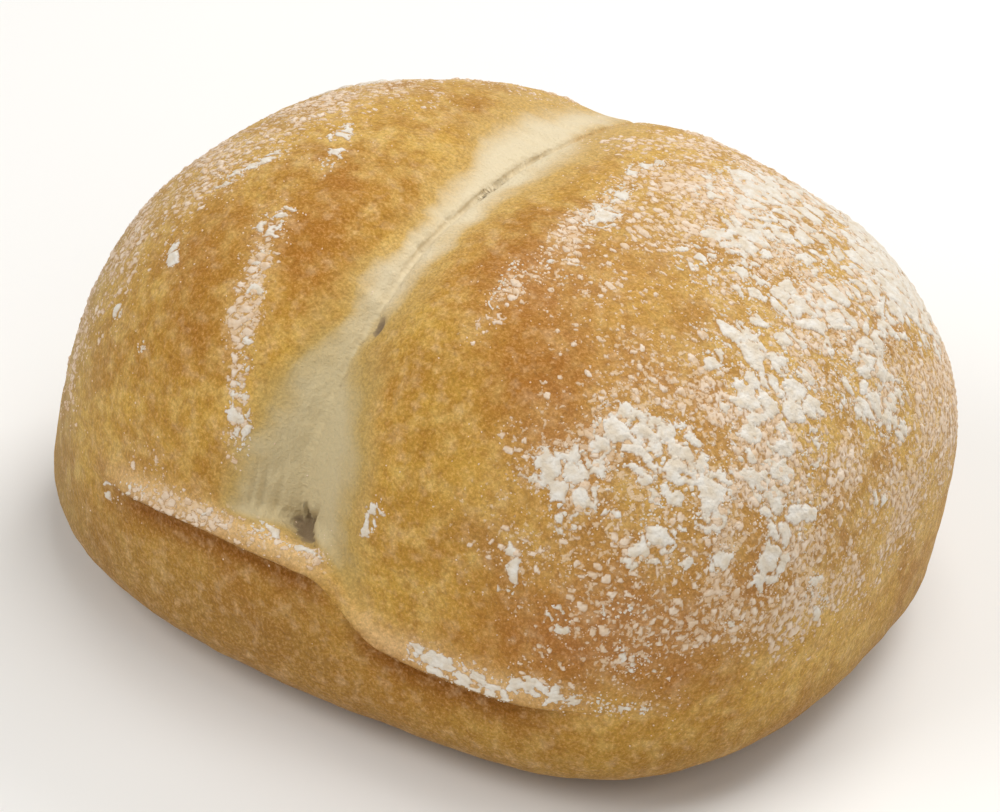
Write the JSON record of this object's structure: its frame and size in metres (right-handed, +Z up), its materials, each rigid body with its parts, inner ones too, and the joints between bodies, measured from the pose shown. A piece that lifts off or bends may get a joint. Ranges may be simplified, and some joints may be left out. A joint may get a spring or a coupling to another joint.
{
  "type": "bread roll",
  "caption": "Crusty floury wheat bread roll, pressed across the middle so that it bakes as two lobes with a pale crease, a folded lip at each crease end and a flat base.",
  "frame": {"origin": "centre of the roll's outline on the surface it stands on", "axes": "+Z up; +X across the crease, towards the larger lobe; -Y towards the crease end with the deeper lip"},
  "size_m": [0.1202, 0.096, 0.0626],
  "materials": {
    "crust": "baked wheat crust, dry and matt, golden brown with white flour on the domes and a pale crease"
  },
  "bodies": {
    "root": {"bread_roll": "crust"}
  },
  "joints": []
}
